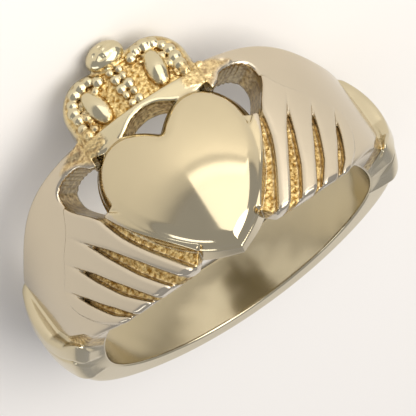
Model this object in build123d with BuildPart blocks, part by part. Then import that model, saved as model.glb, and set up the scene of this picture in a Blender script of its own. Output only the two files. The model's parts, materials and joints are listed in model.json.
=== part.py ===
from build123d import *
from math import cos, degrees, pi, radians, sin
import os

# Claddagh ring: a heart held by two hands, with a crown above it, cast in one piece with its band.
# The casting is worked out in the ring's own frame. X runs across the head, Y along the finger
# towards the crown and Z out through the heart. Angles go round the finger, from the heart. A place
# on the head is an arc length along the head's radius and a height along Y. In the end the casting
# is laid down the way it rests on a table, on the crown's ball and the back of the band.

# Driving dimensions, mm
bore_radius = 10.0
head_radius = 12.3
band_radius = 12.1
band_shift = 0.3
band_crown_radius = 60.0
band_reach = 8.0
band_round = 0.4
mouth_start = -4.9
mouth_end = -7.0
mouth_radius = 11.0
floor_radius = 11.95
palm_radius = 12.45
reach = 15.0

# Edges of the band and the shoulders seen from the side: height above the finger's axis, and how
# far the band goes towards the heart's tip and towards the crown
band_edges = [
    # height, tip_side, crown_side
    (-13.0, -1.85, 1.85),
    (-8.0, -2.3, 2.3),
    (-3.0, -2.95, 2.95),
    (1.0, -3.3, 3.3),
    (4.5, -3.5, 3.65),
    (7.0, -4.5, 4.65),
    (9.0, -5.55, 5.25),
    (11.0, -6.15, 5.35),
    (14.0, -6.4, 5.25),
]

# Heart
heart_notch = (0.0, 2.3)
heart_tip = (0.0, -6.85)
heart_side = [(1.6, 3.6), (3.0, 3.9), (4.45, 3.2), (5.32, 1.2), (4.95, -1.3), (3.55, -3.9), (1.7, -5.9)]
heart_barrel_radius = 8.5
heart_top = 13.25
heart_middle = -1.8
heart_long_radius = 30.0
heart_reach = 9.0
heart_edge_round = 0.6

# Hands: each finger is a tapered bar from the knuckle to the tip
hand_angle = 33.0
knuckle_top = 12.4
tip_top = 12.6
fingers = [
    # knuckle_arc, knuckle_y, knuckle_radius, tip_arc, tip_y, tip_radius
    (7.3, 0.5, 0.86, 3.85, -5.6, 0.60),
    (9.1, 0.2, 0.86, 5.6, -5.55, 0.60),
    (10.8, -0.4, 0.86, 7.35, -5.2, 0.60),
    (12.0, -1.4, 0.86, 9.1, -4.7, 0.74),
]
finger_zone = [
    # arc, y
    (5.2, 0.9), (6.4, 0.7), (8.2, 0.5), (10.0, 0.0), (11.6, -0.8), (12.8, -1.3), (12.6, -2.9), (11.7, -4.3),
    (10.4, -5.4), (9.6, -8.0), (0.5, -8.0),
]
palm_outline = [
    # arc, y
    (5.6, 0.3), (8.2, 0.1), (10.0, -0.4), (11.5, -1.2), (12.6, -1.8), (12.75, -1.0), (12.3, -0.4),
    (11.5, -0.2), (10.8, 0.6), (10.0, 1.2), (9.0, 1.8), (8.1, 2.1), (7.2, 1.6), (6.2, 0.8),
]
side_gap = [
    # arc, y
    (4.9, 3.3), (5.5, 3.9), (6.4, 4.15), (7.2, 4.1), (7.8, 3.7), (7.9, 3.0), (7.3, 1.8), (6.6, 0.9), (6.0, 0.35),
    (5.3, 0.5), (4.0, 0.8), (4.0, 3.0),
]
head_window = [
    # x, y, on the +X side
    (0.0, 8.0), (4.3, 8.0), (4.3, 0.5), (1.5, -6.0), (0.0, -6.0),
]

# Crown: its foot follows the heart's lobe from the outer corner and arches over the small gap
crown_half_width = 4.35
crown_corner_y = 4.0
crown_foot_places = [(2.9, 3.7), (1.8, 3.95), (0.0, 4.3)]
crown_radius = 12.0
strip_top_y = 4.85
strip_radius = 12.3
lobe_x = 2.3
lobe_y = 6.5
lobe_radius = 2.08
bead_rows = [
    # inset from the lobe's edge, bead_radius, bead_count
    (0.34, 0.36, 11),
    (0.95, 0.30, 8),
]
arch_start = 0.3
arch_turn = 130.0
column_x = 0.33
column_y = 5.1
column_pitch = 0.62
column_count = 5
column_radius = 0.32
cushion_half_width = 0.52
cushion_half_length = 1.2
cushion_y = 6.35
cushion_lean = 6.0
ball_y = 8.75
ball_half_width = 1.3
ball_half_height = 0.95
ball_radius = 11.95

# Cuffs: two rolls across the band behind each hand
cuff_rolls = [
    # angle, half_thickness, tip_side, crown_side, edge_radius, top_radius
    (84.0, 0.95, -3.85, 3.6, 12.05, 13.05),
    (94.0, 0.90, -3.65, 3.4, 11.95, 12.9),
]
cuff_foot_radius = 9.0
cuff_turn = 2.5
cuff_slant = 14.0
cuff_corner = 0.9

# How far the ring is pitched over where it lies on a table
rest_pitch = 71.55


def radial(angle):
    """Direction out from the finger's axis."""
    return Vector(sin(radians(angle)), 0, cos(radians(angle)))


def tangent(angle):
    """Direction round the finger, away from the heart on the +X side."""
    return Vector(cos(radians(angle)), 0, -sin(radians(angle)))


def on_head(arc, y, radius):
    """Point at an arc length along the head's radius, a height and a distance from the axis."""
    return radial(degrees(arc / head_radius)) * radius + Vector(0, y, 0)


def facing_plane(angle):
    """Plane through the finger's axis, square to the direction out at this angle."""
    return Plane(origin=(0, 0, 0), x_dir=tangent(angle), z_dir=radial(angle))


def slanted_plane(angle, slant):
    """Plane across the band, turned by the slant about the direction out."""
    normal = tangent(angle) * -cos(radians(slant)) - Vector(0, sin(radians(slant)), 0)
    return Plane(origin=(0, 0, 0), x_dir=radial(angle), z_dir=normal)


def hand_outline(points, side):
    """Head places of one hand as points of a sketch on its facing plane."""
    middle = radians(hand_angle) * head_radius
    return [(side * (arc - middle), y) for arc, y in points]


def mirrored_outline(points):
    """Closed outline from the points of its +X side, listed from one end of the Y axis to the other."""
    return points + [(-x, y) for x, y in reversed(points[1:-1])]


def crown_foot():
    """Lower edge of the crown on the +X side, along the heart's lobe and over the small gap."""
    Spline([(crown_half_width, crown_corner_y)] + crown_foot_places, tangents=((-1, -0.3), (-1, 0)))


def half_ellipse(half_length, half_width):
    """Upper half of an ellipse about the sketch's origin, closed along the X axis."""
    EllipticalCenterArc((0, 0), half_length, half_width, start_angle=0, arc_size=180)
    Line((-half_length, 0), (half_length, 0))


def arch_places(inset, count):
    """Places along a lobe's arch, from its foot on the outer side over the top to the ball."""
    edge_x = crown_half_width - inset
    arc_radius = lobe_radius - inset
    straight = lobe_y - strip_top_y - arch_start
    whole = straight + arc_radius * radians(arch_turn)
    places = []
    for bead in range(count):
        travel = whole * bead / (count - 1)
        turn = max(travel - straight, 0) / arc_radius
        places.append((
            edge_x - arc_radius * (1 - cos(turn)),
            lobe_y - max(straight - travel, 0) + arc_radius * sin(turn),
        ))
    return places


with BuildPart() as band:
    with BuildSketch(Plane.YZ) as band_section:
        with BuildLine():
            outer = band_radius + band_shift
            edge = outer - band_reach**2 / (2 * band_crown_radius)
            ThreePointArc((-band_reach, edge), (0, outer), (band_reach, edge))
            Polyline(
                (band_reach, edge), (band_reach, band_shift), (-band_reach, band_shift), (-band_reach, edge)
            )
        make_face()
    revolve(axis=Axis((0, 0, band_shift), (0, 1, 0)))
    with BuildSketch(Plane.YZ) as side_outline:
        with BuildLine():
            low = Spline([(tip, height) for height, tip, crown in band_edges])
            high = Spline([(crown, height) for height, tip, crown in band_edges])
            Line(low @ 0, high @ 0)
            Line(low @ 1, high @ 1)
        make_face()
    extrude(amount=reach, both=True, mode=Mode.INTERSECT)
    with BuildSketch(Plane.XY) as window:
        with BuildLine():
            Polyline(*mirrored_outline(head_window), close=True)
        make_face()
    extrude(amount=reach, mode=Mode.SUBTRACT)
    fillet(band.edges().filter_by(lambda rim: rim.length > 2 * reach), radius=band_round)

hands = []
for side in (1, -1):
    facing = facing_plane(side * hand_angle)

    with BuildPart() as zone:
        with BuildSketch(facing):
            with BuildLine():
                Polyline(*hand_outline(finger_zone, side), close=True)
            make_face()
        extrude(amount=reach)
        with Locations(Plane.XZ):
            Cylinder(floor_radius, 2 * reach, mode=Mode.SUBTRACT)

    with BuildPart() as gap:
        with BuildSketch(facing):
            with BuildLine():
                Polyline(*hand_outline(side_gap, side), close=True)
            make_face()
        extrude(amount=reach)

    with BuildPart() as palm:
        with BuildSketch(facing):
            with BuildLine():
                Polyline(*hand_outline(palm_outline, side), close=True)
            make_face()
        extrude(amount=reach)
        with Locations(Plane.XZ):
            Cylinder(palm_radius, 2 * reach, mode=Mode.INTERSECT)
        for knuckle_arc, knuckle_y, knuckle_radius, tip_arc, tip_y, tip_radius in fingers:
            knuckle = on_head(side * knuckle_arc, knuckle_y, knuckle_top - knuckle_radius)
            tip = on_head(side * tip_arc, tip_y, tip_top - tip_radius)
            along = tip - knuckle
            side_way = along.cross(radial(side * hand_angle))
            with BuildSketch(Plane(origin=knuckle, x_dir=along, z_dir=side_way)):
                with BuildLine():
                    Polyline((along.length + tip_radius, 0), (0, 0), (0, knuckle_radius), (along.length, tip_radius))
                    ThreePointArc(
                        (along.length, tip_radius),
                        (along.length + tip_radius * sin(pi / 4), tip_radius * cos(pi / 4)),
                        (along.length + tip_radius, 0),
                    )
                make_face()
            revolve(axis=Axis(knuckle, along))

    hands.append((zone, gap, palm))

cuffs = []
for side in (1, -1):
    for angle, half_thickness, tip_side, crown_side, edge_radius, top_radius in cuff_rolls:
        with BuildPart() as roll:
            with BuildSketch(slanted_plane(side * angle + cuff_turn, side * cuff_slant)) as roll_section:
                with BuildLine():
                    ThreePointArc((edge_radius, tip_side), (top_radius, 0), (edge_radius, crown_side))
                    Polyline(
                        (edge_radius, crown_side), (cuff_foot_radius, crown_side),
                        (cuff_foot_radius, tip_side), (edge_radius, tip_side),
                    )
                make_face()
                fillet(roll_section.vertices().sort_by(Axis.X)[-2:], radius=cuff_corner)
            extrude(amount=half_thickness, both=True)
        cuffs.append(roll)

with BuildPart() as heart:
    with BuildSketch(Plane.XY) as heart_outline:
        with BuildLine():
            Spline([heart_notch] + heart_side + [heart_tip])
            mirror(about=Plane.YZ)
        make_face()
    extrude(amount=reach)
    with BuildSketch(Plane.YZ) as barrel_section:
        with BuildLine():
            axis_height = heart_top - heart_barrel_radius
            end_height = heart_top - heart_reach**2 / (2 * heart_long_radius)
            low_end = heart_middle - heart_reach
            high_end = heart_middle + heart_reach
            ThreePointArc((low_end, end_height), (heart_middle, heart_top), (high_end, end_height))
            Polyline(
                (high_end, end_height), (high_end, axis_height), (low_end, axis_height), (low_end, end_height)
            )
        make_face()
    revolve(axis=Axis((0, 0, axis_height), (0, 1, 0)), mode=Mode.INTERSECT)
    fillet(heart.edges().group_by(Axis.Z)[-1], radius=heart_edge_round)

with BuildPart() as crown:
    with BuildSketch(Plane.XY) as crown_outline:
        with BuildLine():
            crown_foot()
            Line((crown_half_width, crown_corner_y), (crown_half_width, lobe_y))
            ThreePointArc(
                (crown_half_width, lobe_y),
                (lobe_x + lobe_radius * cos(pi / 4), lobe_y + lobe_radius * sin(pi / 4)),
                (lobe_x, lobe_y + lobe_radius),
            )
            Line((lobe_x, lobe_y + lobe_radius), (0, ball_y - ball_half_height / 2))
            mirror(about=Plane.YZ)
        make_face()
    extrude(amount=reach)
    with Locations(Plane.XZ):
        Cylinder(crown_radius, 2 * reach, mode=Mode.INTERSECT)

with BuildPart() as strip:
    with BuildSketch(Plane.XY) as strip_outline:
        with BuildLine():
            crown_foot()
            Polyline((crown_half_width, crown_corner_y), (crown_half_width, strip_top_y), (0, strip_top_y))
            mirror(about=Plane.YZ)
        make_face()
    extrude(amount=reach)
    with Locations(Plane.XZ):
        Cylinder(strip_radius, 2 * reach, mode=Mode.INTERSECT)

with BuildPart() as relief:
    for side in (1, -1):
        for inset, bead_radius, bead_count in bead_rows:
            for x, y in arch_places(inset, bead_count):
                with Locations(on_head(side * x, y, crown_radius)):
                    Sphere(bead_radius)
        for row in range(column_count):
            with Locations(on_head(side * column_x, column_y + row * column_pitch, crown_radius)):
                Sphere(column_radius)
        lean = radians(side * cushion_lean)
        along = Vector(-sin(lean), cos(lean), 0)
        middle = on_head(side * lobe_x, cushion_y, crown_radius)
        with BuildSketch(Plane(origin=middle, x_dir=along, z_dir=(0, 0, 1))):
            with BuildLine():
                half_ellipse(cushion_half_length, cushion_half_width)
            make_face()
        revolve(axis=Axis(middle, along))

# The ball's half profile is on the crown's side, so that the revolved face's seam is inside the crown
with BuildPart() as ball:
    middle = Vector(0, ball_y, ball_radius)
    with BuildSketch(Plane(origin=middle, x_dir=(-1, 0, 0), z_dir=(0, 0, 1))):
        with BuildLine():
            half_ellipse(ball_half_width, ball_half_height)
        make_face()
    revolve(axis=Axis(middle, (1, 0, 0)))

with BuildPart() as casting:
    add(band.part)
    for zone, gap, palm in hands:
        add(zone.part, mode=Mode.SUBTRACT)
    for roll in cuffs:
        add(roll.part)
    for zone, gap, palm in hands:
        add(palm.part)
        add(gap.part, mode=Mode.SUBTRACT)
    add(heart.part)
    add(crown.part)
    add(strip.part)
    add(ball.part)
    add(relief.part)
    with Locations(Plane.XZ):
        Cylinder(bore_radius, 3 * reach, mode=Mode.SUBTRACT)
    with Locations(Plane.XZ.offset(-(mouth_start + mouth_end) / 2)):
        Cone(bore_radius, mouth_radius, mouth_start - mouth_end, mode=Mode.SUBTRACT)

# The heart leans up towards -Y, the crown is low, and the origin is under the middle of the ring
laid = casting.part.rotate(Axis.X, -rest_pitch).rotate(Axis.Z, 180)
laid_box = laid.bounding_box()

with BuildPart() as ring:
    with Locations((-laid_box.center().X, -laid_box.center().Y, -laid_box.min.Z)):
        add(laid)

ring.part.label = "ring"
os.makedirs("parts", exist_ok=True)
export_step(ring.part, "parts/ring.step")
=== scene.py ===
import json
from math import cos, degrees, pi, radians, sin

import bpy
import numpy as np
from mathutils import Matrix, Vector


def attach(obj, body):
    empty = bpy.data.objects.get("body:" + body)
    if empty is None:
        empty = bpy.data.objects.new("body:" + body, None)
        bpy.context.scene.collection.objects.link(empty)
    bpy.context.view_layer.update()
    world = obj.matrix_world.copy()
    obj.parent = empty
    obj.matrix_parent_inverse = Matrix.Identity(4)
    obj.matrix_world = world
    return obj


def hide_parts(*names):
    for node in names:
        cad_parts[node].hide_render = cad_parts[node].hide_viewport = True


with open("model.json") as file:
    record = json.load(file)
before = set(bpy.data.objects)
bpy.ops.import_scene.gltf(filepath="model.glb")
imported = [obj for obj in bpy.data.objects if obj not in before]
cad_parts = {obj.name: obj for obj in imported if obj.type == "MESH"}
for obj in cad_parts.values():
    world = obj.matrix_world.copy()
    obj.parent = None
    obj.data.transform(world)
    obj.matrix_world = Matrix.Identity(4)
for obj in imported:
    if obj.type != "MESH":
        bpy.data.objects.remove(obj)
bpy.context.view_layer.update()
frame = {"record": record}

# Claddagh ring, worked out in millimetres in the ring's own frame: X across the head, Y along the
# finger towards the crown, Z out through the heart. The casting is one field of distances on a grid
# that runs round the finger, and its surface is cut into named pieces.
MM = 0.001
CELL = 0.08

# Band and head
BORE_RADIUS = 10.0
HEAD_RADIUS = 12.3
BAND_RADIUS = 12.1
BAND_SHIFT = 0.3
BAND_CROWN_RADIUS = 60.0
BAND_ROUND = 0.4
WALL = HEAD_RADIUS - BORE_RADIUS
BORE_ROUND = 0.12
BORE_RIPPLE = 0.012
RIPPLE_SIZES = (4.5, 1.6)
MOUTH_START = -4.9
MOUTH_END = -7.0
MOUTH_RADIUS = 11.0
BAND_EDGES = [
    # height, tip_side, crown_side
    (-13.0, -1.85, 1.85),
    (-8.0, -2.3, 2.3),
    (-3.0, -2.95, 2.95),
    (1.0, -3.3, 3.3),
    (4.5, -3.5, 3.65),
    (7.0, -4.5, 4.65),
    (9.0, -5.55, 5.25),
    (11.0, -6.15, 5.35),
    (14.0, -6.4, 5.25),
]

# Heart
HEART_NOTCH = (0.0, 2.3)
HEART_TIP = (0.0, -6.85)
HEART_SIDE = [(1.6, 3.6), (3.0, 3.9), (4.45, 3.2), (5.32, 1.2), (4.95, -1.3), (3.55, -3.9), (1.7, -5.9)]
HEART_BARREL_RADIUS = 8.5
HEART_TOP = 13.25
HEART_MIDDLE = -1.8
HEART_LONG_RADIUS = 30.0
HEART_EDGE_ROUND = 0.85
HEART_STEP = 0.12
HEART_STEP_DEPTH = 0.85
HEART_STEP_ROUND = 0.1

# Hands
HAND_ANGLE = 33.0
PAD_RADIUS = 12.5
PAD_ROUND = 0.2
PAD_FOOT_RADIUS = 9.5
PAD = [
    # arc, y, round the crease between hand and shoulder
    (5.6, 0.6), (6.6, 2.2), (7.7, 2.95), (8.3, 2.3), (9.0, 1.45), (10.2, 0.6), (11.2, -0.3),
    (11.9, -0.75), (12.15, -1.7), (11.6, -3.1), (10.5, -4.5), (9.4, -5.6), (8.6, -8.0), (4.0, -9.0),
    (-1.0, -8.0), (2.0, -2.0),
]
GROOVES = [
    # places along the middle as (arc, y, half_width), from the pointed end to the rim
    [(6.35, 0.95, 0.05), (5.5, -1.4, 0.26), (4.25, -3.6, 0.38), (2.6, -6.3, 0.48), (1.9, -7.6, 0.5)],
    [(8.75, 1.1, -0.18), (7.2, -1.6, 0.2), (6.0, -3.8, 0.34), (4.45, -6.3, 0.32), (3.6, -7.6, 0.3)],
    [(10.4, 0.5, -0.18), (9.0, -1.95, 0.17), (7.75, -4.1, 0.26), (6.35, -6.1, 0.12), (5.6, -7.3, -0.1)],
    [(11.9, -0.3, -0.18), (10.55, -2.6, 0.12), (9.3, -4.47, 0.2), (8.1, -5.9, 0.04), (7.6, -6.6, -0.15)],
]
GROOVE_ROUND = 0.3
GROOVE_FLOOR = 11.8
GROOVE_FLOOR_ROUND = 0.15
GRAIN_HEIGHT = 0.045
GRAIN_SIZE = 0.33
CREASE = 0.11
CREASE_RISE = 0.04
CREASE_END_Y = -5.8
WINDOW_ROUND = 0.08
HEAD_WINDOW = [
    (0.0, 8.0), (4.3, 8.0), (4.3, 0.5), (1.6, -5.0), (2.3, -5.4), (2.9, -6.1), (3.2, -7.6), (0.0, -7.6),
]
SIDE_GAP = [
    # arc, y
    (4.9, 3.3), (5.5, 3.9), (6.4, 4.15), (7.2, 4.1), (7.8, 3.7), (7.9, 3.0), (7.3, 1.8), (6.6, 0.9),
    (6.0, 0.35), (5.3, 0.5), (4.0, 0.8), (4.0, 3.0),
]
GAP_LIP = 0.2
RIB_HEIGHT = 0.03
RIB_PITCH = 0.36
THUMB = [
    # arc, y
    (3.2, 3.6), (4.6, 3.3), (5.4, 4.0), (6.3, 4.3), (6.9, 4.5), (6.0, 5.0), (4.9, 5.6), (3.6, 5.6),
]
LUMP_HEIGHT = 0.11
LUMP_SIZE = 0.9

# Crown
CROWN_HALF_WIDTH = 4.35
CROWN_CORNER_Y = 3.8
CROWN_FOOT = [(2.9, 3.4), (1.75, 3.7), (1.0, 4.15), (0.0, 4.35)]
CROWN_FLOOR_RADIUS = 11.8
CROWN_RIM_RADIUS = 12.05
CROWN_RIM_ROUND = 0.25
CROWN_RIM_WIDTH = 0.55
STRIP_TOP_Y = 4.85
STRIP_RADIUS = 12.3
STRIP_ROUND = 0.2
LOBE_X = 2.3
LOBE_Y = 6.5
LOBE_RADIUS = 2.08
BEAD_ROWS = [
    # inset, bead_radius, bead_count
    (0.58, 0.40, 9),
    (1.18, 0.20, 11),
]
BEAD_WANDER = 0.07
BEAD_SINK = 0.05
ARCH_START = 0.3
ARCH_TURN = 130.0
COLUMN_X = 0.33
COLUMN_Y = 5.1
COLUMN_PITCH = 0.62
COLUMN_COUNT = 5
COLUMN_RADIUS = 0.32
CUSHION_HALF_WIDTH = 0.72
CUSHION_HALF_LENGTH = 1.4
CUSHION_Y = 6.3
CUSHION_LEAN = -10.0
BALL_Y = 8.75
BALL_HALF_WIDTH = 1.3
BALL_HALF_HEIGHT = 0.95
BALL_RADIUS = 11.95
BALL_FACE = (0.85, 0.55)
BALL_FACE_DEPTH = 0.07
SEAM = 0.05

# Cuffs
CUFF_CREASES = [
    # y, shoulder_angle, middle_angle, shank_angle, valley_half_width
    (-3.9, 64.0, 80.0, 96.5, 0.65),
    (-3.2, 67.0, 81.5, 97.0, 0.55),
    (-2.2, 75.0, 85.5, 98.0, 0.25),
    (-1.0, 79.0, 88.0, 98.5, 0.12),
    (1.5, 80.0, 89.0, 98.5, 0.08),
    (3.8, 80.5, 89.5, 98.5, 0.08),
]
CUFF_ROLLS = [
    # tip_side, crown_side, edge_radius, top_radius
    (-3.85, 3.6, 12.0, 13.04),
    (-3.65, 3.4, 11.9, 12.92),
]
CUFF_TURN = 2.5
CUFF_SPAN = (50.0, 112.0)
CUFF_FALL = 4.5
CUFF_FALL_Y = (1.8, 3.3)
CUFF_ROUND = 0.5
CUFF_END_ROUND = 0.8
CUFF_SINK = 0.3
VALLEY_FLOOR = 11.9
VALLEY_ROUND = 0.2
VALLEY_LIP = 0.3

# Finishes: tone, roughness and depth of the grain in the recesses
FINISHES = {
    "heart": ("gold_mirror", (0.58, 0.50, 0.33), 0.05, 0.2),
    "crown": ("gold_bright_cast", (0.60, 0.53, 0.35), 0.10, 0.6),
    # The hands' and the band's tones are a little greyer than the heart's and the crown's: besides the
    # gold's own tone, this is painted reflection of pale bluish surroundings on the shoulders.
    "hands": ("gold_cast", (0.58, 0.51, 0.39), 0.15, 0.6),
    "band": ("gold_satin", (0.58, 0.51, 0.35), 0.11, 0.4),
}
# Colours in the recesses: golden brown painted shade, speckled dark and bright by the grain.
PIT_DARK = (0.30, 0.16, 0.03)
PIT_BRIGHT = (0.86, 0.66, 0.30)
BUMP_DISTANCE = 0.0002

# Studio, in metres and watts
FLOOR_HALF = 1.5
FLOOR_COLOUR = (0.84, 0.81, 0.76)
WORLD_COLOUR = (0.92, 0.93, 1.0)
WORLD_STRENGTH = 0.5
LIGHTS = [
    # name, place, target, size, power, colour
    ("key", (-0.14, -0.10, 0.26), (0, 0, 0), (0.26, 0.26), 0.80, (1.0, 0.97, 0.93)),
    ("card", (-0.035, -0.065, 0.032), (0, 0, 0.005), (0.09, 0.06), 0.027, (1.0, 0.96, 0.92)),
    ("rim", (0.22, 0.02, 0.12), (0, 0, 0), (0.05, 0.16), 0.06, (0.96, 0.97, 1.0)),
]

# Camera, as seen from the ring's own frame
CAMERA_FROM = Vector((-0.0707, -0.3737, 0.9248))
CAMERA_UP = Vector((0.5614, 0.7515, 0.3466))
CAMERA_DISTANCE = 333.3
CAMERA_FIELD = 26.37
CAMERA_OFFSET = (-0.22, 1.367)
SENSOR = 36.0


def ramp(value, low, high):
    """0 below low, 1 above high, smooth between."""
    part = np.clip((value - low) / (high - low), 0.0, 1.0)
    return part * part * (3.0 - 2.0 * part)


def both(a, b, radius):
    """Inside both fields, with the outer corner rounded."""
    corner = np.hypot(np.maximum(a + radius, 0.0), np.maximum(b + radius, 0.0))
    return np.minimum(np.maximum(a, b), -radius) + corner


def either(a, b, radius):
    """Inside either field, with the inner corner filled."""
    return -both(-a, -b, radius)


def spline(points, closed=False, per_span=10):
    """Smooth curve through the points, as points."""
    knots = np.array(points, float)
    if closed:
        knots = np.vstack([knots[-3:], knots, knots[:4]])
    count = len(knots)
    times = np.concatenate([[0.0], np.cumsum(np.hypot(*np.diff(knots, axis=0).T))])
    spans = np.diff(times)
    system = np.eye(count)
    right = np.zeros((count, 2))
    for i in range(1, count - 1):
        system[i, i - 1:i + 2] = spans[i - 1], 2.0 * (spans[i - 1] + spans[i]), spans[i]
        right[i] = 6.0 * ((knots[i + 1] - knots[i]) / spans[i] - (knots[i] - knots[i - 1]) / spans[i - 1])
    bends = np.linalg.solve(system, right)
    first, last = (3, count - 4) if closed else (0, count - 1)
    curve = []
    for i in range(first, last):
        for t in np.arange(per_span) / per_span * spans[i]:
            rest = spans[i] - t
            curve.append(
                (bends[i] * rest**3 + bends[i + 1] * t**3) / (6.0 * spans[i])
                + (knots[i] / spans[i] - bends[i] * spans[i] / 6.0) * rest
                + (knots[i + 1] / spans[i] - bends[i + 1] * spans[i] / 6.0) * t
            )
    if not closed:
        curve.append(knots[-1])
    return np.array(curve)


class Outline:
    """Signed distance to a closed outline, negative inside, looked up on a fine raster."""

    PITCH = 0.05
    MARGIN = 1.2

    def __init__(self, points):
        points = np.asarray(points, float)
        self.low = points.min(0) - self.MARGIN
        size = np.ceil((points.max(0) + self.MARGIN - self.low) / self.PITCH).astype(int) + 1
        u = self.low[0] + np.arange(size[0])[:, None] * self.PITCH
        v = self.low[1] + np.arange(size[1])[None, :] * self.PITCH
        near = np.full((size[0], size[1]), 1e9)
        inside = np.zeros(near.shape, bool)
        for a, b in zip(points, np.roll(points, -1, 0)):
            step = b - a
            part = np.clip(((u - a[0]) * step[0] + (v - a[1]) * step[1]) / max(step @ step, 1e-12), 0.0, 1.0)
            near = np.minimum(near, (u - a[0] - part * step[0])**2 + (v - a[1] - part * step[1])**2)
            if a[1] != b[1]:
                cross = (v > a[1]) != (v > b[1])
                inside ^= cross & (u < a[0] + (v - a[1]) * step[0] / step[1])
        self.raster = np.where(inside, -1.0, 1.0).astype(np.float32) * np.sqrt(near).astype(np.float32)

    def __call__(self, u, v):
        u, v = np.broadcast_arrays(u, v)
        i = np.clip((u - self.low[0]) / self.PITCH, 0.0, self.raster.shape[0] - 1.001).astype(np.float32)
        j = np.clip((v - self.low[1]) / self.PITCH, 0.0, self.raster.shape[1] - 1.001).astype(np.float32)
        i0 = i.astype(np.int32)
        j0 = j.astype(np.int32)
        i -= i0
        j -= j0
        low = self.raster[i0, j0] * (1 - i) + self.raster[i0 + 1, j0] * i
        high = self.raster[i0, j0 + 1] * (1 - i) + self.raster[i0 + 1, j0 + 1] * i
        return low * (1 - j) + high * j


def heart_outline():
    half = spline([HEART_NOTCH] + HEART_SIDE + [HEART_TIP])
    return np.vstack([half, half[-2:0:-1] * (-1, 1)])


def crown_outline():
    foot = spline([(CROWN_HALF_WIDTH, CROWN_CORNER_Y)] + CROWN_FOOT)
    turn = np.radians(np.arange(0, 91, 6))
    lobe = np.stack([LOBE_X + LOBE_RADIUS * np.cos(turn), LOBE_Y + LOBE_RADIUS * np.sin(turn)], 1)
    half = np.vstack([foot[::-1], lobe, [(0.0, BALL_Y - BALL_HALF_HEIGHT / 2)]])
    return np.vstack([half, half[-2:0:-1] * (-1, 1)])


def strip_outline():
    foot = spline([(CROWN_HALF_WIDTH, CROWN_CORNER_Y)] + CROWN_FOOT)
    half = np.vstack([foot[::-1], [(CROWN_HALF_WIDTH, STRIP_TOP_Y)]])
    return np.vstack([half, half[::-1] * (-1, 1)])


heart_shape = Outline(heart_outline())
crown_shape = Outline(crown_outline())
strip_shape = Outline(strip_outline())
pad_shape = Outline(spline(PAD, closed=True))
window_shape = Outline(np.vstack([HEAD_WINDOW, np.array(HEAD_WINDOW)[-2:0:-1] * (-1, 1)]))
gap_shape = Outline(spline(SIDE_GAP, closed=True))
thumb_shape = Outline(spline(THUMB, closed=True))
tip_edge = spline([(height, tip) for height, tip, crown in BAND_EDGES])
crown_edge = spline([(height, crown) for height, tip, crown in BAND_EDGES])


def groove_distance(arc, y):
    """Distance outside the nearest groove between the fingers, negative inside it."""
    nearest = 9.0
    for places in GROOVES:
        line = spline([place[:2] for place in places], per_span=4)
        widths = np.interp(np.arange(len(line)) / 4, np.arange(len(places)), [place[2] for place in places])
        for a, b, wide_a, wide_b in zip(line[:-1], line[1:], widths[:-1], widths[1:]):
            step = b - a
            part = np.clip(((arc - a[0]) * step[0] + (y - a[1]) * step[1]) / (step @ step), 0.0, 1.0)
            gap = np.hypot(arc - a[0] - part * step[0], y - a[1] - part * step[1])
            nearest = np.minimum(nearest, gap - wide_a - (wide_b - wide_a) * part)
    return nearest


class Grooves(Outline):
    """The grooves' distance, looked up on the same kind of raster."""

    def __init__(self):
        self.low = np.array([-1.0, -9.0])
        u = self.low[0] + np.arange(round(14.5 / self.PITCH))[:, None] * self.PITCH
        v = self.low[1] + np.arange(round(11.5 / self.PITCH))[None, :] * self.PITCH
        self.raster = groove_distance(u, v).astype(np.float32)


groove_shape = Grooves()


def waves(x, y, z, size, seed, count=7):
    """Smooth lumps of about this size, from -1 to 1."""
    rng = np.random.default_rng(seed)
    total = 0.0
    for _ in range(count):
        way = rng.normal(size=3)
        way *= 2 * pi / size / np.linalg.norm(way)
        total = total + np.sin(x * way[0] + y * way[1] + z * way[2] + rng.uniform(0, 2 * pi))
    return total / count**0.5 / 1.4


def head_arc(x, z, side):
    """Arc length along the head of one hand, as on the flat plan that faces the hand."""
    turn = radians(HAND_ANGLE)
    return side * x * cos(turn) - z * sin(turn) + turn * HEAD_RADIUS


def on_head(arc, y, radius):
    turn = arc / HEAD_RADIUS
    return np.array([sin(turn) * radius, y, cos(turn) * radius])


def arch_places(inset, count):
    """Places along a lobe's arch, from its foot on the outer side over the top to the ball."""
    edge_x = CROWN_HALF_WIDTH - inset
    arc_radius = LOBE_RADIUS - inset
    straight = LOBE_Y - STRIP_TOP_Y - ARCH_START
    whole = straight + arc_radius * radians(ARCH_TURN)
    for travel in np.linspace(0.0, whole, count):
        turn = max(travel - straight, 0.0) / arc_radius
        arch_y = LOBE_Y - max(straight - travel, 0.0) + arc_radius * sin(turn)
        yield edge_x - arc_radius * (1 - cos(turn)), arch_y


class Casting:
    """The ring's field on a grid of angle, height and distance from the finger's axis."""

    Y_LOW = -7.3
    Y_HIGH = 10.0
    R_LOW = 9.7
    R_HIGH = 13.6

    def __init__(self):
        self.steps = round(2 * pi * HEAD_RADIUS / CELL)
        self.turn = 2 * pi / self.steps
        self.t = (-pi + np.arange(self.steps) * self.turn).astype(np.float32)[:, None, None]
        self.y = np.arange(self.Y_LOW, self.Y_HIGH, CELL).astype(np.float32)[None, :, None]
        self.r = np.arange(self.R_LOW, self.R_HIGH, CELL).astype(np.float32)[None, None, :]
        self.field = None

    def window(self, t_low, t_high, y_low, y_high):
        """Slices of the grid and the places of their nodes; angles in degrees."""
        rows = slice(*np.searchsorted(self.t[:, 0, 0], (radians(t_low), radians(t_high))))
        columns = slice(*np.searchsorted(self.y[0, :, 0], (y_low, y_high)))
        t = self.t[rows]
        y = self.y[:, columns]
        return (rows, columns), self.r * np.sin(t), y, self.r * np.cos(t), t

    def join(self, part, value, radius=0.0):
        old = self.field[part]
        self.field[part] = either(old, value, radius) if radius else np.minimum(old, value)

    def cut(self, part, value, radius=0.0):
        old = self.field[part]
        self.field[part] = both(old, -value, radius) if radius else np.maximum(old, -value)


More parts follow.
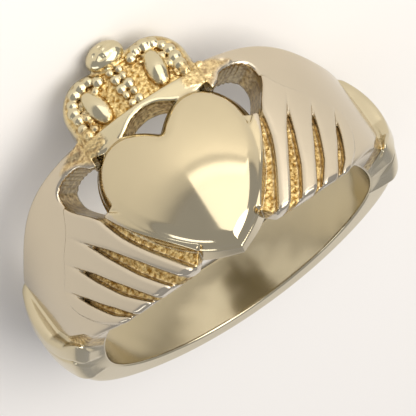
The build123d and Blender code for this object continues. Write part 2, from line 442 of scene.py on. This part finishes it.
def add_band(casting):
    r = casting.r
    x = r * np.sin(casting.t)
    z = r * np.cos(casting.t)
    y = casting.y
    outer = np.hypot(x, z - BAND_SHIFT) - BAND_RADIUS + y**2 / (2 * BAND_CROWN_RADIUS)
    sides = []
    for edge, way in ((tip_edge, -1), (crown_edge, 1)):
        place = np.interp(z, edge[:, 0], edge[:, 1]).astype(np.float32)
        slope = np.interp(z, edge[1:, 0], np.diff(edge[:, 1]) / np.diff(edge[:, 0])).astype(np.float32)
        sides.append(way * (y - place) / np.sqrt(1 + slope**2))
    casting.rim = sides[0]
    casting.field = both(outer, np.maximum(*sides), BAND_ROUND)


def cuff_lines(y):
    places = np.array(CUFF_CREASES)
    return [np.interp(y, places[:, 0], places[:, column]) for column in range(1, places.shape[1])]


def cuff_angle(t, y, r, side):
    """Angle from the heart, with the creases' fall down the tip side taken out."""
    fall = CUFF_FALL * ramp(-y, *CUFF_FALL_Y) * np.clip(HEAD_RADIUS - r, 0.0, WALL)
    return side * (np.degrees(t) - CUFF_TURN) - fall


def add_cuffs(casting):
    per_degree = radians(HEAD_RADIUS)
    for side in (1, -1):
        low, high = sorted(side * angle + CUFF_TURN for angle in CUFF_SPAN)
        part, x, y, z, t = casting.window(low, high, -5, 5)
        arc = cuff_angle(t, y, casting.r, side) * per_degree
        *lines, valley = cuff_lines(y)
        lines = [line * per_degree for line in lines]
        lines[0] = lines[0] + valley
        for near, far, roll in zip(lines[:-1], lines[1:], CUFF_ROLLS):
            tip_side, crown_side, edge_radius, top_radius = roll
            centre = (tip_side + crown_side) / 2
            reach = (crown_side - tip_side) / 2
            top = casting.r - top_radius + (top_radius - edge_radius) * ((y - centre) / reach)**2
            value = both(np.maximum(near - arc, arc - far), top, CUFF_ROUND)
            sink = np.where(y < 0, CUFF_SINK * np.clip(HEAD_RADIUS - casting.r, 0.0, WALL), 0.0)
            value = both(value, np.abs(y - centre) - reach + sink, CUFF_END_ROUND)
            casting.join(part, value, SEAM)
        groove = np.abs(arc - lines[0] + valley) - valley
        casting.cut(part, both(groove, VALLEY_FLOOR - casting.r, VALLEY_ROUND), VALLEY_LIP)


def add_hands(casting):
    for side in (1, -1):
        low, high = (0, 80) if side == 1 else (-80, 0)
        part, x, y, z, t = casting.window(low, high, casting.Y_LOW, 6.5)
        r = casting.r
        arc = head_arc(x, z, side)
        pad = pad_shape(arc, y)
        raised = both(both(pad, r - PAD_RADIUS, PAD_ROUND), casting.rim[part], BAND_ROUND)
        casting.join(part, np.maximum(raised, PAD_FOOT_RADIUS - r))
        grooves = groove_shape(arc, y)
        crease = np.hypot(pad, r - PAD_RADIUS + CREASE_RISE) - CREASE
        casting.cut(part, np.maximum(crease, CREASE_END_Y - y), CREASE_RISE)
        casting.cut(part, both(grooves, GROOVE_FLOOR - r, GROOVE_FLOOR_ROUND), GROOVE_ROUND)
        grain = ramp(-grooves, -0.05, 0.12) * ramp(-r, -12.25, -11.95)
        casting.field[part] += GRAIN_HEIGHT * grain * waves(x, y, z, GRAIN_SIZE, 3)
        gap = gap_shape(arc, y)
        ribs = RIB_HEIGHT * np.cos(2 * pi * arc / RIB_PITCH) * ramp(y, 2.6, 3.2) * ramp(-r, -12.2, -11.9)
        casting.cut(part, gap + ribs, GAP_LIP)
        lumpy = ramp(-thumb_shape(arc, y), -0.1, 0.3) * ramp(r, 11.2, 11.6)
        casting.field[part] += LUMP_HEIGHT * lumpy * (waves(x, y, z, LUMP_SIZE, 5) + 0.3)
    part, x, y, z, t = casting.window(-40, 40, casting.Y_LOW, casting.Y_HIGH)
    casting.cut(part, window_shape(x, y), WINDOW_ROUND)


def add_heart(casting):
    part, x, y, z, t = casting.window(-40, 40, casting.Y_LOW, 5)
    barrel = np.hypot(x, z - HEART_TOP + HEART_BARREL_RADIUS) - HEART_BARREL_RADIUS
    barrel = barrel + (y - HEART_MIDDLE)**2 / (2 * HEART_LONG_RADIUS)
    outline = heart_shape(x, y)
    casting.join(part, both(outline, barrel + HEART_STEP_DEPTH, HEART_STEP_ROUND))
    casting.join(part, both(outline + HEART_STEP, barrel, HEART_EDGE_ROUND), SEAM)


def bead_places():
    """Place and radius of every bead: the arches' rows, then the column, one side after the other."""
    beads = []
    for side in (1, -1):
        for inset, bead_radius, count in BEAD_ROWS:
            beads += [(side * bead_x, bead_y, bead_radius) for bead_x, bead_y in arch_places(inset, count)]
        beads += [
            (side * COLUMN_X, COLUMN_Y + row * COLUMN_PITCH, COLUMN_RADIUS) for row in range(COLUMN_COUNT)
        ]
    return beads


def add_beads(casting, part, crown):
    """Joins the beads to the crown's field, which covers this part of the grid, each in its own corner."""
    rng = np.random.default_rng(11)
    for bead in bead_places():
        bead_x, bead_y, bead_radius = bead + rng.uniform(-BEAD_WANDER, BEAD_WANDER, 3)
        centre = on_head(bead_x, bead_y, CROWN_RIM_RADIUS - BEAD_SINK)
        angle = degrees(bead_x / HEAD_RADIUS)
        here, bx, by, bz, bt = casting.window(angle - 4, angle + 4, bead_y - 0.8, bead_y + 0.8)
        local = tuple(slice(a.start - b.start, a.stop - b.start) for a, b in zip(here, part))
        value = np.sqrt((bx - centre[0])**2 + (by - centre[1])**2 + (bz - centre[2])**2) - bead_radius
        crown[local] = either(crown[local], value, SEAM)


def cushion(x, y, z, side):
    lean = radians(side * CUSHION_LEAN)
    centre = on_head(side * LOBE_X, CUSHION_Y, CROWN_FLOOR_RADIUS)
    along = -(x - centre[0]) * sin(lean) + (y - centre[1]) * cos(lean)
    across = (x - centre[0]) * cos(lean) + (y - centre[1]) * sin(lean)
    round_part = (across**2 + (z - centre[2])**2) / CUSHION_HALF_WIDTH**2
    return (np.sqrt((along / CUSHION_HALF_LENGTH)**2 + round_part) - 1) * CUSHION_HALF_WIDTH


def crown_ball(x, y, z):
    round_part = ((y - BALL_Y) / BALL_HALF_HEIGHT)**2 + ((z - BALL_RADIUS) / BALL_HALF_HEIGHT)**2
    ball = (np.sqrt((x / BALL_HALF_WIDTH)**2 + round_part) - 1) * BALL_HALF_HEIGHT
    face = ramp(-np.hypot(x / BALL_FACE[0], (y - BALL_Y) / BALL_FACE[1]), -1.0, -0.7) * ramp(z, 12.0, 12.5)
    return ball + BALL_FACE_DEPTH * face * (waves(x, y, z, 0.45, 9) + 1.0)


def add_crown(casting):
    part, x, y, z, t = casting.window(-32, 32, 2.5, casting.Y_HIGH)
    r = casting.r
    outline = crown_shape(x, y)
    crown = both(outline, r - CROWN_RIM_RADIUS, CROWN_RIM_ROUND)
    dish = np.maximum(outline + CROWN_RIM_WIDTH, CROWN_FLOOR_RADIUS - r)
    crown = both(crown, -dish, 0.08)
    crown = np.minimum(crown, both(strip_shape(x, y), r - STRIP_RADIUS, STRIP_ROUND))
    add_beads(casting, part, crown)
    for side in (1, -1):
        crown = either(crown, cushion(x, y, z, side), SEAM)
    crown = either(crown, crown_ball(x, y, z), 0.06)
    casting.join(part, crown, 0.04)


def add_bore(casting):
    y = casting.y
    part = np.clip((MOUTH_START - y) / (MOUTH_START - MOUTH_END), 0.0, 1.0)
    bore = BORE_RADIUS + (MOUTH_RADIUS - BORE_RADIUS) * part
    x = BORE_RADIUS * np.sin(casting.t)
    z = BORE_RADIUS * np.cos(casting.t)
    broad, fine = RIPPLE_SIZES
    bore = bore + BORE_RIPPLE * (waves(x, y, z, broad, 21) + 0.4 * waves(x, y, z, fine, 22) + 1.4)
    casting.field = both(casting.field, bore - casting.r, BORE_ROUND)


def sample(field, places):
    """Field at places in grid steps, straight between the nodes and wrapped round the finger."""
    base = np.floor(places).astype(np.int32)
    part = (places - base).astype(np.float32)
    i = base[:, 0] % field.shape[0]
    j = np.clip(base[:, 1], 0, field.shape[1] - 2)
    k = np.clip(base[:, 2], 0, field.shape[2] - 2)
    total = 0.0
    for di in (0, 1):
        for dj in (0, 1):
            for dk in (0, 1):
                weight = (
                    (part[:, 0] if di else 1 - part[:, 0]) * (part[:, 1] if dj else 1 - part[:, 1])
                    * (part[:, 2] if dk else 1 - part[:, 2])
                )
                total = total + weight * field[(i + di) % field.shape[0], j + dj, k + dk]
    return total


def slope(field, places, step):
    grads = []
    for axis in range(3):
        offset = np.zeros(3)
        offset[axis] = step
        grads.append((sample(field, places + offset) - sample(field, places - offset)) / (2 * step))
    return np.stack(grads, 1)


def surface(casting):
    """Points, normals and quads of the field's zero surface."""
    field = casting.field
    solid = field < 0
    wrapped = np.concatenate([solid, solid[:1]], 0)
    count = np.zeros((solid.shape[0], solid.shape[1] - 1, solid.shape[2] - 1), np.uint8)
    for di in (0, 1):
        for dj in (0, 1):
            for dk in (0, 1):
                count += wrapped[di:di + count.shape[0], dj:dj + count.shape[1], dk:dk + count.shape[2]]
    active = (count > 0) & (count < 8)
    index = np.full(active.shape, -1, np.int32)
    cells = np.argwhere(active)
    index[active] = np.arange(len(cells))
    corners = np.array([(a, b, c) for a in (0, 1) for b in (0, 1) for c in (0, 1)])
    values = [
        field[(cells[:, 0] + a) % field.shape[0], cells[:, 1] + b, cells[:, 2] + c] for a, b, c in corners
    ]
    total = np.zeros((len(cells), 3))
    hits = np.zeros(len(cells))
    for a in range(8):
        for b in range(a + 1, 8):
            if np.abs(corners[a] - corners[b]).sum() == 1:
                crossing = (values[a] < 0) != (values[b] < 0)
                gap = np.where(crossing, values[a] - values[b], 1.0)
                part = np.where(crossing, values[a] / gap, 0.0)[:, None]
                total += np.where(crossing[:, None], corners[a] + part * (corners[b] - corners[a]), 0.0)
                hits += crossing
    places = cells + total / hits[:, None]
    for _ in range(3):
        lean = slope(field, places, 0.5)
        move = lean * (sample(field, places) / np.maximum((lean**2).sum(1), 1e-6))[:, None]
        places = places - np.clip(move, -0.6, 0.6)
    quads = []
    for axis in range(3):
        low = [slice(None)] * 3
        high = [slice(None)] * 3
        low[axis] = slice(0, wrapped.shape[axis] - 1)
        high[axis] = slice(1, wrapped.shape[axis])
        a, b = wrapped[tuple(low)], wrapped[tuple(high)]
        edges = np.argwhere(a != b)
        if axis != 0:
            edges = edges[edges[:, 0] < solid.shape[0]]
        first = a[tuple(edges.T)]
        one, two = (axis + 1) % 3, (axis + 2) % 3
        ring = []
        for shift_one, shift_two in ((1, 1), (0, 1), (0, 0), (1, 0)):
            cell = edges.copy()
            cell[:, one] -= shift_one
            cell[:, two] -= shift_two
            cell[:, 0] %= solid.shape[0]
            ring.append(index[tuple(cell.T)])
        ring = np.stack(ring, 1)
        quads.append(np.where(first[:, None], ring, ring[:, ::-1]))
    quads = np.vstack(quads)
    turn = -pi + places[:, 0] * casting.turn
    radius = casting.R_LOW + places[:, 2] * CELL
    points = np.stack([radius * np.sin(turn), casting.Y_LOW + places[:, 1] * CELL, radius * np.cos(turn)], 1)
    lean = slope(field, places, 0.7)
    around = lean[:, 0] / (casting.turn * radius)
    along = lean[:, 1] / CELL
    out = lean[:, 2] / CELL
    normal_x = around * np.cos(turn) + out * np.sin(turn)
    normal_z = out * np.cos(turn) - around * np.sin(turn)
    normals = np.stack([normal_x, along, normal_z], 1)
    normals /= np.maximum(np.linalg.norm(normals, axis=1), 1e-9)[:, None]
    return points, normals, quads


def recess(points):
    """How deep each point lies in a cast recess, from 0 on polished faces to 1; it places the recesses'
    grain, roughness and painted shade.
    """
    x, y, z = points.T
    r = np.hypot(x, z)
    side = np.where(x < 0, -1, 1)
    arc = head_arc(x, z, side)
    head = (z > 0) & (r > 10.2)
    floor = ramp(-groove_shape(arc, y), -0.05, 0.1) * ramp(-r, -12.3, -11.95)
    thumb = ramp(-thumb_shape(arc, y), -0.1, 0.3) * 0.7
    lobes = ramp(-crown_shape(x, y), 0.0, 0.4) * ramp(-r, -12.35, -12.0) * (y > STRIP_TOP_Y)
    walls = ramp(-gap_shape(arc, y), -0.25, -0.05) * ramp(-r, -12.2, -11.9) * 0.5
    foot = ramp(-np.abs(x), -2.0, -1.7) * ramp(-r, -12.2, -12.0) * (y > 2.4) * (y < 5.0)
    heart = ramp(heart_shape(x, y), 0.0, 0.1)
    deep = np.maximum.reduce([floor, thumb, lobes, walls, foot]) * heart
    # The cuffs' crease on the tip side also takes the recess colour, as painted shade.
    t = np.arctan2(x, z)
    shoulder_line, _, _, valley = cuff_lines(y)
    away = cuff_angle(t, y, r, np.sign(t - radians(CUFF_TURN)))
    gap = np.abs(away - shoulder_line) * radians(HEAD_RADIUS) - valley
    hollow = ramp(-gap, -0.1, 0.1) * ramp(-r, -12.4, -12.0) * ramp(-y, 1.5, 2.5) * 0.7
    return np.maximum(np.where(head, deep, 0.0), np.where(r > 10.2, hollow, 0.0)).astype(np.float32)


def piece_of(points):
    """Number of the piece each point belongs to, in the order of PIECES."""
    x, y, z = points.T
    t = np.arctan2(x, z)
    side = np.where(np.degrees(t) > CUFF_TURN, 1, -1)
    away = cuff_angle(t, y, np.hypot(x, z), side)
    shoulder_line, _, shank_line, _ = cuff_lines(y)
    label = np.where(side > 0, 1, 2)
    label = np.where(away > shoulder_line, label + 2, label)
    label = np.where(away > shank_line + 1, 0, label)
    front = z > 0
    label = np.where(front & (crown_shape(x, y) < 0.06), 6, label)
    label = np.where(front & (y > BALL_Y - 1), 6, label)
    label = np.where(front & (heart_shape(x, y) < 0.02), 5, label)
    return label


PIECES = ["shank", "right_hand", "left_hand", "right_cuff", "left_cuff", "heart", "crown"]


def build_casting():
    casting = Casting()
    add_band(casting)
    add_cuffs(casting)
    add_hands(casting)
    add_heart(casting)
    add_crown(casting)
    add_bore(casting)
    return surface(casting)


def placement():
    """From the ring's own frame in millimetres to where it rests, in metres."""
    hole = next(mount for mount in frame["record"]["mounts"] if mount["name"] == "finger_hole")
    crownwards = -Vector(hole["axis"]).normalized()
    right = Vector((-1.0, 0.0, 0.0))
    outwards = right.cross(crownwards)
    turned = Matrix((right, crownwards, outwards)).transposed().to_4x4()
    return Matrix.Translation(Vector(hole["pos_m"])) @ turned @ Matrix.Scale(MM, 4)


def make_piece(name, points, normals, quads, depth, material, turned):
    used, quads = np.unique(quads, return_inverse=True)
    quads = quads.reshape(-1, 4)
    mesh = bpy.data.meshes.new(name)
    mesh.vertices.add(len(used))
    mesh.vertices.foreach_set("co", points[used].astype(np.float32).ravel())
    mesh.loops.add(quads.size)
    mesh.loops.foreach_set("vertex_index", quads.astype(np.int32).ravel())
    mesh.polygons.add(len(quads))
    mesh.polygons.foreach_set("loop_start", np.arange(0, quads.size, 4, dtype=np.int32))
    mesh.update(calc_edges=True)
    mesh.polygons.foreach_set("use_smooth", np.ones(len(quads), bool))
    mesh.attributes.new("recess", "FLOAT", "POINT").data.foreach_set("value", depth[used])
    mesh.transform(turned)
    rotation = np.array(turned.to_3x3().normalized())
    mesh.normals_split_custom_set_from_vertices((normals[used] @ rotation.T).tolist())
    mesh.materials.append(material)
    piece = bpy.data.objects.new(name, mesh)
    bpy.context.scene.collection.objects.link(piece)
    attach(piece, "root")
    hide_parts("ring")
    return piece


def gold(name, tone, roughness, grain):
    """Polished cast gold, granular and rougher in its recesses, where golden brown painted shade darkens its
    colour.
    """
    material = bpy.data.materials.new(name)
    material.use_nodes = True
    nodes = material.node_tree.nodes
    links = material.node_tree.links
    shader = nodes["Principled BSDF"]
    shader.inputs["Metallic"].default_value = 1.0
    place = nodes.new("ShaderNodeTexCoord")
    depth = nodes.new("ShaderNodeAttribute")
    depth.attribute_name = "recess"

    def noise(scale, detail, rough=0.5):
        node = nodes.new("ShaderNodeTexNoise")
        node.inputs["Scale"].default_value = scale
        node.inputs["Detail"].default_value = detail
        node.inputs["Roughness"].default_value = rough
        links.new(place.outputs["Object"], node.inputs["Vector"])
        return node

    def maths(kind, a, b):
        node = nodes.new("ShaderNodeMath")
        node.operation = kind
        for socket, value in zip(node.inputs, (a, b)):
            if isinstance(value, float):
                socket.default_value = value
            else:
                links.new(value, socket)
        return node.outputs[0]

    grains = noise(4200.0, 2.0)
    cloud = noise(300.0, 3.0)
    # The recesses' colour is painted shade, golden brown, speckled dark and bright by the grain.
    grain_speckle = nodes.new("ShaderNodeMapRange")
    grain_speckle.inputs["From Min"].default_value = 0.35
    grain_speckle.inputs["From Max"].default_value = 0.65
    links.new(grains.outputs["Fac"], grain_speckle.inputs["Value"])
    pit = nodes.new("ShaderNodeMix")
    pit.data_type = "RGBA"
    pit.inputs["A"].default_value = (*PIT_DARK, 1.0)
    pit.inputs["B"].default_value = (*PIT_BRIGHT, 1.0)
    links.new(grain_speckle.outputs["Result"], pit.inputs["Factor"])
    tint = nodes.new("ShaderNodeMix")
    tint.data_type = "RGBA"
    tint.inputs["A"].default_value = (*(0.94 * part for part in tone), 1.0)
    tint.inputs["B"].default_value = (*(1.06 * part for part in tone), 1.0)
    links.new(cloud.outputs["Fac"], tint.inputs["Factor"])
    # Blends the gold's tone into the painted shade as the recess deepens.
    colour = nodes.new("ShaderNodeMix")
    colour.data_type = "RGBA"
    links.new(depth.outputs["Fac"], colour.inputs["Factor"])
    links.new(tint.outputs["Result"], colour.inputs["A"])
    links.new(pit.outputs["Result"], colour.inputs["B"])
    links.new(colour.outputs["Result"], shader.inputs["Base Color"])

    wear = maths("MULTIPLY", cloud.outputs["Fac"], 0.10)
    rough = maths("ADD", wear, maths("MULTIPLY", depth.outputs["Fac"], 0.22))
    links.new(maths("ADD", rough, roughness), shader.inputs["Roughness"])

    ripple = noise(900.0, 2.0)
    height = maths("MULTIPLY", maths("MULTIPLY", grains.outputs["Fac"], depth.outputs["Fac"]), grain)
    height = maths("ADD", height, maths("MULTIPLY", ripple.outputs["Fac"], 0.01))
    bump = nodes.new("ShaderNodeBump")
    bump.inputs["Strength"].default_value = 1.0
    bump.inputs["Distance"].default_value = BUMP_DISTANCE
    links.new(height, bump.inputs["Height"])
    links.new(bump.outputs["Normal"], shader.inputs["Normal"])
    return material


def plain(name, colour, roughness):
    material = bpy.data.materials.new(name)
    material.use_nodes = True
    shader = material.node_tree.nodes["Principled BSDF"]
    shader.inputs["Base Color"].default_value = (*colour, 1.0)
    shader.inputs["Roughness"].default_value = roughness
    return material


def make_floor():
    mesh = bpy.data.meshes.new("floor")
    corners = [(x * FLOOR_HALF, y * FLOOR_HALF, 0) for x, y in ((-1, -1), (1, -1), (1, 1), (-1, 1))]
    mesh.from_pydata(corners, [], [(0, 1, 2, 3)])
    mesh.materials.append(plain("floor", FLOOR_COLOUR, 0.9))
    floor = bpy.data.objects.new("floor", mesh)
    bpy.context.scene.collection.objects.link(floor)


def make_light(name, place, target, size, power, colour):
    light = bpy.data.lights.new(name, "AREA")
    light.shape = "RECTANGLE"
    light.size, light.size_y = size
    light.energy = power
    light.color = colour
    lamp = bpy.data.objects.new(name, light)
    lamp.location = place
    lamp.rotation_euler = (Vector(target) - Vector(place)).to_track_quat("-Z", "Y").to_euler()
    lamp.visible_camera = False
    bpy.context.scene.collection.objects.link(lamp)


def make_camera(turned):
    rotate = turned.to_3x3().normalized()
    back = (rotate @ CAMERA_FROM).normalized()
    up = (rotate @ CAMERA_UP).normalized()
    right = up.cross(back)
    centre = turned.translation
    offset = right * CAMERA_OFFSET[0] + up * CAMERA_OFFSET[1]
    camera = bpy.data.cameras.new("camera")
    camera.sensor_width = SENSOR
    camera.lens = SENSOR * CAMERA_DISTANCE / CAMERA_FIELD
    camera.clip_start = 0.01
    holder = bpy.data.objects.new("camera", camera)
    axes = Matrix((right, back.cross(right), back)).transposed().to_4x4()
    holder.matrix_world = Matrix.Translation(centre + (back * CAMERA_DISTANCE + offset) * MM) @ axes
    bpy.context.scene.collection.objects.link(holder)
    bpy.context.scene.camera = holder


def make_world():
    world = bpy.data.worlds.new("studio")
    world.use_nodes = True
    world.node_tree.nodes["Background"].inputs["Color"].default_value = (*WORLD_COLOUR, 1.0)
    world.node_tree.nodes["Background"].inputs["Strength"].default_value = WORLD_STRENGTH
    bpy.context.scene.world = world


turned = placement()
points, normals, quads = build_casting()
labels = piece_of(points)[quads].max(1)
depth = recess(points)
finishes = {kind: gold(*values) for kind, values in FINISHES.items()}
for number, name in enumerate(PIECES):
    kind = name if name in finishes else "hands" if name.endswith("hand") else "band"
    piece = make_piece(name, points, normals, quads[labels == number], depth, finishes[kind], turned)
    print("piece", name, 2 * len(piece.data.polygons))

make_floor()
make_world()
for light in LIGHTS:
    make_light(*light)
make_camera(turned)

bpy.context.scene.view_settings.view_transform = "Standard"
